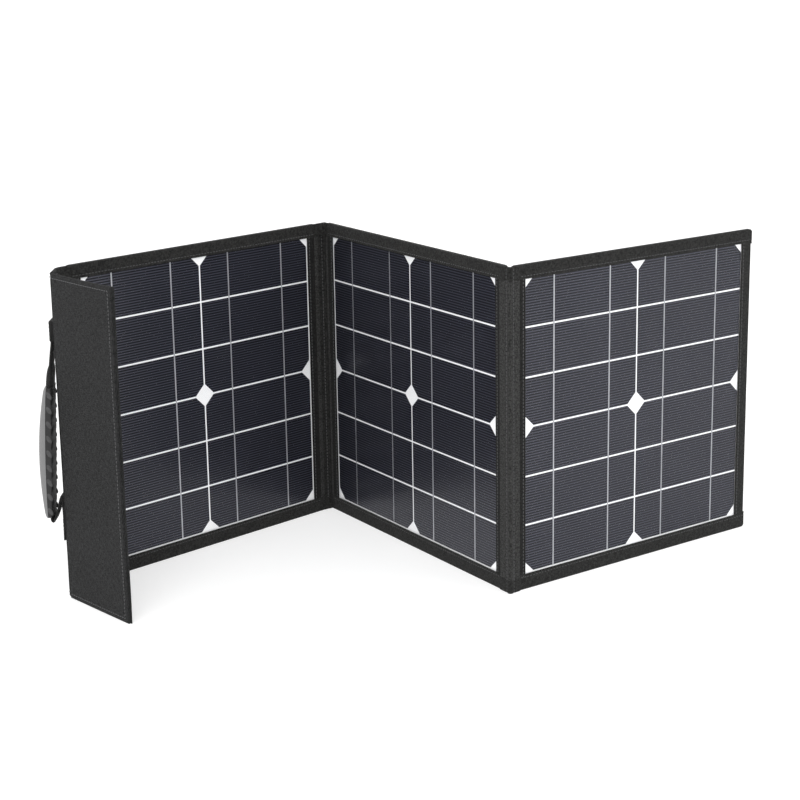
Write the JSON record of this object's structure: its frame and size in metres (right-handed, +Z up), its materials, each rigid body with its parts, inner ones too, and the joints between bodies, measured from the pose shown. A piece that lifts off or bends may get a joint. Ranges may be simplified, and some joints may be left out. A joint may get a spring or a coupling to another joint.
{
  "type": "folding solar panel case",
  "caption": "Folding solar panel case standing in a zigzag: framed cell panels joined by fabric folds, with a stiffened spine, closing flap and carry handle.",
  "frame": {"origin": "middle of the footprint bounding box, on the surface that the panels stand on", "axes": "+X runs along the zigzag, from the flap and handle to the free end of the right panel; -Y is the side that the left and right cells face; +Z up"},
  "size_m": [0.7526, 0.3618, 0.354],
  "materials": {
    "front_film": "satin, finely textured",
    "cell_ribbon": "tinned, flat",
    "solar_cell": "blue-black with fine lines",
    "white_backsheet": "matte",
    "core_board": "matte",
    "binding_tape": "woven tape",
    "case_fabric": "heathered weave",
    "hook_and_loop": "matte",
    "webbing": "ribbed weave",
    "grip_cap": "smooth, satin",
    "grip_liner": "matte",
    "screw_steel": "satin",
    "seal_rubber": "matte",
    "diode_black": "matte",
    "terminal_plastic": "matte",
    "box_plastic": "fine texture"
  },
  "bodies": {
    "middle_panel": {"middle_front_film": "front_film", "middle_ribbons": "cell_ribbon", "middle_cells": "solar_cell", "middle_backsheet": "white_backsheet", "middle_core_board": "core_board", "middle_back_cover": "case_fabric", "middle_binding": "binding_tape", "middle_left_hem": "binding_tape", "middle_fold_tape": "binding_tape", "middle_loop_strip": "hook_and_loop", "pocket_body": "case_fabric", "pocket_lid_hem": "binding_tape", "pocket_loop_patch": "hook_and_loop", "junction_screw_1": "screw_steel", "junction_screw_2": "screw_steel", "junction_screw_3": "screw_steel", "junction_screw_4": "screw_steel", "junction_box_base": "box_plastic", "junction_box_seal": "seal_rubber", "junction_box_lid": "box_plastic", "terminal_block": "terminal_plastic", "bypass_diodes": "diode_black", "cable_gland": "box_plastic", "gland_nut": "box_plastic"},
    "fold_strip": {"fold_strip": "binding_tape"},
    "left_panel": {"left_front_film": "front_film", "left_ribbons": "cell_ribbon", "left_cells": "solar_cell", "left_backsheet": "white_backsheet", "left_core_board": "core_board", "left_back_cover": "case_fabric", "left_binding": "binding_tape", "left_spine_tape": "binding_tape"},
    "right_panel": {"right_front_film": "front_film", "right_ribbons": "cell_ribbon", "right_cells": "solar_cell", "right_backsheet": "white_backsheet", "right_core_board": "core_board", "right_back_cover": "case_fabric", "right_binding": "binding_tape", "right_fold_tape": "binding_tape"},
    "spine": {"spine_sleeve": "case_fabric", "spine_board": "core_board", "spine_flap_tape": "binding_tape", "handle_upper_anchor": "webbing", "handle_lower_anchor": "webbing"},
    "flap": {"flap_sleeve": "case_fabric", "flap_board": "core_board", "flap_hook_strip": "hook_and_loop"},
    "handle": {"handle_strap": "webbing", "handle_grip_cap": "grip_cap", "handle_grip_liner": "grip_liner"},
    "pocket_lid": {"pocket_lid": "case_fabric", "pocket_hook_patch": "hook_and_loop"}
  },
  "joints": [
    {"name": "fold_strip_swing", "type": "hinge", "parent": "middle_panel", "child": "fold_strip", "pos_m": [0.02712, 0.17814, 0], "axis": [0, 0, 1], "range_deg": [-99.5, 0]},
    {"name": "left_panel_fold", "type": "hinge", "parent": "fold_strip", "child": "left_panel", "pos_m": [0.0141, 0.17596, 0], "axis": [0, 0, 1], "range_deg": [-30, 80.5]},
    {"name": "right_panel_fold", "type": "hinge", "parent": "middle_panel", "child": "right_panel", "pos_m": [0.02632, -0.17966, 0], "axis": [0, 0, -1], "range_deg": [-10, 270.9]},
    {"name": "spine_fold", "type": "hinge", "parent": "left_panel", "child": "spine", "pos_m": [-0.33909, 0.11686, 0], "axis": [0, 0, 1], "range_deg": [-60, 44.7]},
    {"name": "flap_fold", "type": "hinge", "parent": "spine", "child": "flap", "pos_m": [-0.3554, 0.09373, 0], "axis": [0, 0, 1], "range_deg": [-60, 49.3]},
    {"name": "handle_swing", "type": "hinge", "parent": "spine", "child": "handle", "pos_m": [-0.35228, 0.11013, 0.1595], "axis": [0, 0, 1], "range_deg": [-6, 6]},
    {"name": "pocket_lid_hinge", "type": "hinge", "parent": "middle_panel", "child": "pocket_lid", "pos_m": [0.03362, 0.06774, 0.3193], "axis": [0, 1, 0], "range_deg": [-90, 0]}
  ]
}
